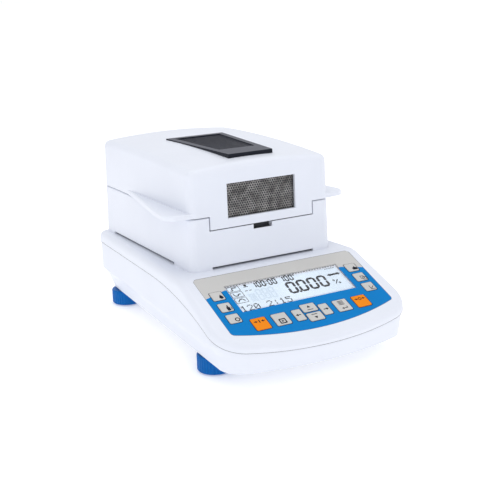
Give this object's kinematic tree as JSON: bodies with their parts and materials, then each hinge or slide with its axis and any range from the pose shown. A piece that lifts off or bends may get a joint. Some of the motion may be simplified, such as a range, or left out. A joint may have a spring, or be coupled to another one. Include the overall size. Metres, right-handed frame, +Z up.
{
  "type": "moisture analyzer",
  "caption": "Bench moisture analyzer: weighing base with a sloping keypad and levelling feet, and a hinged heated lid over a drying chamber.",
  "frame": {"origin": "middle of the footprint, on the surface that the feet stand on", "axes": "+X to the right seen from the front, -Y to the front with the keypad, +Z up"},
  "size_m": [0.2062, 0.3328, 0.1899],
  "materials": {
    "housing": "satin off-white moulding",
    "overlay_film": "printed blue and grey film",
    "clear_window": "clear",
    "display": "backlit display",
    "circuit_board": "green laminate",
    "black_plastic": "moulded",
    "cast_aluminium": "as cast",
    "steel": "brushed",
    "pan_aluminium": "bright rolled",
    "rubber": "matt",
    "bright_reflector": "polished",
    "lamp_glass": "quartz",
    "ceramic": "glazed ceramic",
    "dark_mesh": "perforated, dark",
    "vent_plastic": "moulded slate black",
    "key_grey": "printed film key",
    "key_orange": "printed film key",
    "foot_blue": "fluted knob"
  },
  "bodies": {
    "base": {"lower_housing": "housing", "upper_cover": "housing", "keypad_overlay": "overlay_film", "display_window": "clear_window", "lcd_module": "display", "keypad_board": "circuit_board", "main_board": "circuit_board", "chassis_plate": "cast_aluminium", "weigh_cell": "cast_aluminium", "power_supply": "circuit_board", "heater_driver": "cast_aluminium", "rear_panel": "steel", "power_inlet": "black_plastic", "power_switch": "black_plastic", "data_ports": "steel", "chamber_body": "housing", "chamber_liner": "steel", "level_indicator": "clear_window", "lid_buffers": "rubber", "hinge_brackets": "steel", "hinge_pins": "steel", "screws": "steel"},
    "lid": {"lid_shell": "housing", "lid_hinge_leaves": "steel", "heating_hood": "steel", "reflector": "bright_reflector", "heater_lamps": "lamp_glass", "lamp_holders": "ceramic", "lamp_guard": "steel", "temperature_sensor": "steel", "window_glass": "clear_window", "window_mesh": "dark_mesh", "vent_cover": "vent_plastic"},
    "load_hanger": {"weighing_post": "steel", "pan_support": "steel"},
    "pan_lifter": {"pan_lifter": "steel"},
    "sample_pan": {"sample_pan": "pan_aluminium"},
    "power_rocker": {"power_rocker": "black_plastic"},
    "key_left_top": {"key_left_top": "key_grey"},
    "key_left_middle": {"key_left_middle": "key_grey"},
    "key_left_bottom": {"key_left_bottom": "key_grey"},
    "key_right_top": {"key_right_top": "key_grey"},
    "key_right_middle": {"key_right_middle": "key_grey"},
    "key_right_bottom": {"key_right_bottom": "key_grey"},
    "key_orange_left": {"key_orange_left": "key_orange"},
    "key_orange_right": {"key_orange_right": "key_orange"},
    "key_grey_left": {"key_grey_left": "key_grey"},
    "key_grey_right": {"key_grey_right": "key_grey"},
    "key_arrow_left": {"key_arrow_left": "key_grey"},
    "key_arrow_right": {"key_arrow_right": "key_grey"},
    "key_arrow_up": {"key_arrow_up": "key_grey"},
    "key_arrow_down": {"key_arrow_down": "key_grey"},
    "foot_pad_front_left": {"foot_pad_front_left": "rubber"},
    "foot_wheel_front_left": {"foot_wheel_front_left": "foot_blue"},
    "foot_pad_front_right": {"foot_pad_front_right": "rubber"},
    "foot_wheel_front_right": {"foot_wheel_front_right": "foot_blue"},
    "foot_pad_rear_left": {"foot_pad_rear_left": "rubber"},
    "foot_wheel_rear_left": {"foot_wheel_rear_left": "foot_blue"},
    "foot_pad_rear_right": {"foot_pad_rear_right": "rubber"},
    "foot_wheel_rear_right": {"foot_wheel_rear_right": "foot_blue"}
  },
  "joints": [
    {"name": "lid_hinge", "type": "hinge", "parent": "base", "child": "lid", "pos_m": [0, 0.163, 0.1344], "axis": [-1, 0, 0], "range_deg": [0, 78]},
    {"name": "load_travel", "type": "slide", "parent": "base", "child": "load_hanger", "axis": [0, 0, -1], "range_m": [0, 0.0003], "stiffness_N_per_m": 5000, "springref_m": -0.0006},
    {"name": "lifter_lift", "type": "slide", "parent": "load_hanger", "child": "pan_lifter", "axis": [0, 0, 1], "range_m": [0, 0.01]},
    {"name": "pan_lift", "type": "slide", "parent": "pan_lifter", "child": "sample_pan", "axis": [0, 0, 1], "range_m": [0, 0.006]},
    {"name": "power_rocker_tilt", "type": "hinge", "parent": "base", "child": "power_rocker", "pos_m": [0.014, 0.1602, 0.057], "axis": [0, 0, 1], "range_deg": [0, 16]},
    {"name": "key_left_top_press", "type": "slide", "parent": "base", "child": "key_left_top", "axis": [0, 0.3891, -0.9212], "range_m": [0, 0.0005], "stiffness_N_per_m": 1200, "springref_m": -0.0003},
    {"name": "key_left_middle_press", "type": "slide", "parent": "base", "child": "key_left_middle", "axis": [0, 0.3891, -0.9212], "range_m": [0, 0.0005], "stiffness_N_per_m": 1200, "springref_m": -0.0003},
    {"name": "key_left_bottom_press", "type": "slide", "parent": "base", "child": "key_left_bottom", "axis": [0, 0.3891, -0.9212], "range_m": [0, 0.0005], "stiffness_N_per_m": 1200, "springref_m": -0.0003},
    {"name": "key_right_top_press", "type": "slide", "parent": "base", "child": "key_right_top", "axis": [0, 0.3891, -0.9212], "range_m": [0, 0.0005], "stiffness_N_per_m": 1200, "springref_m": -0.0003},
    {"name": "key_right_middle_press", "type": "slide", "parent": "base", "child": "key_right_middle", "axis": [0, 0.3891, -0.9212], "range_m": [0, 0.0005], "stiffness_N_per_m": 1200, "springref_m": -0.0003},
    {"name": "key_right_bottom_press", "type": "slide", "parent": "base", "child": "key_right_bottom", "axis": [0, 0.3891, -0.9212], "range_m": [0, 0.0005], "stiffness_N_per_m": 1200, "springref_m": -0.0003},
    {"name": "key_orange_left_press", "type": "slide", "parent": "base", "child": "key_orange_left", "axis": [0, 0.3891, -0.9212], "range_m": [0, 0.0005], "stiffness_N_per_m": 1200, "springref_m": -0.0003},
    {"name": "key_orange_right_press", "type": "slide", "parent": "base", "child": "key_orange_right", "axis": [0, 0.3891, -0.9212], "range_m": [0, 0.0005], "stiffness_N_per_m": 1200, "springref_m": -0.0003},
    {"name": "key_grey_left_press", "type": "slide", "parent": "base", "child": "key_grey_left", "axis": [0, 0.3891, -0.9212], "range_m": [0, 0.0005], "stiffness_N_per_m": 1200, "springref_m": -0.0003},
    {"name": "key_grey_right_press", "type": "slide", "parent": "base", "child": "key_grey_right", "axis": [0, 0.3891, -0.9212], "range_m": [0, 0.0005], "stiffness_N_per_m": 1200, "springref_m": -0.0003},
    {"name": "key_arrow_left_press", "type": "slide", "parent": "base", "child": "key_arrow_left", "axis": [0, 0.3891, -0.9212], "range_m": [0, 0.0005], "stiffness_N_per_m": 1200, "springref_m": -0.0003},
    {"name": "key_arrow_right_press", "type": "slide", "parent": "base", "child": "key_arrow_right", "axis": [0, 0.3891, -0.9212], "range_m": [0, 0.0005], "stiffness_N_per_m": 1200, "springref_m": -0.0003},
    {"name": "key_arrow_up_press", "type": "slide", "parent": "base", "child": "key_arrow_up", "axis": [0, 0.3891, -0.9212], "range_m": [0, 0.0005], "stiffness_N_per_m": 1200, "springref_m": -0.0003},
    {"name": "key_arrow_down_press", "type": "slide", "parent": "base", "child": "key_arrow_down", "axis": [0, 0.3891, -0.9212], "range_m": [0, 0.0005], "stiffness_N_per_m": 1200, "springref_m": -0.0003},
    {"name": "foot_slide_front_left", "type": "slide", "parent": "base", "child": "foot_pad_front_left", "axis": [0, 0, -1], "range_m": [0, 0.005]},
    {"name": "foot_turn_front_left", "type": "hinge", "parent": "foot_pad_front_left", "child": "foot_wheel_front_left", "pos_m": [-0.0775, -0.087, 0], "axis": [0, 0, 1], "range_deg": [0, 1800]},
    {"name": "foot_slide_front_right", "type": "slide", "parent": "base", "child": "foot_pad_front_right", "axis": [0, 0, -1], "range_m": [0, 0.005]},
    {"name": "foot_turn_front_right", "type": "hinge", "parent": "foot_pad_front_right", "child": "foot_wheel_front_right", "pos_m": [0.0775, -0.087, 0], "axis": [0, 0, 1], "range_deg": [0, 1800]},
    {"name": "foot_slide_rear_left", "type": "slide", "parent": "base", "child": "foot_pad_rear_left", "axis": [0, 0, -1], "range_m": [0, 0.005]},
    {"name": "foot_turn_rear_left", "type": "hinge", "parent": "foot_pad_rear_left", "child": "foot_wheel_rear_left", "pos_m": [-0.066, 0.1468, 0], "axis": [0, 0, 1], "range_deg": [0, 1800]},
    {"name": "foot_slide_rear_right", "type": "slide", "parent": "base", "child": "foot_pad_rear_right", "axis": [0, 0, -1], "range_m": [0, 0.005]},
    {"name": "foot_turn_rear_right", "type": "hinge", "parent": "foot_pad_rear_right", "child": "foot_wheel_rear_right", "pos_m": [0.066, 0.1468, 0], "axis": [0, 0, 1], "range_deg": [0, 1800]}
  ],
  "couplings": [
    {"joint": "foot_slide_front_left", "follows": "foot_turn_front_left", "m_per_rad": 0.00015915},
    {"joint": "foot_slide_front_right", "follows": "foot_turn_front_right", "m_per_rad": 0.00015915},
    {"joint": "foot_slide_rear_left", "follows": "foot_turn_rear_left", "m_per_rad": 0.00015915},
    {"joint": "foot_slide_rear_right", "follows": "foot_turn_rear_right", "m_per_rad": 0.00015915}
  ]
}
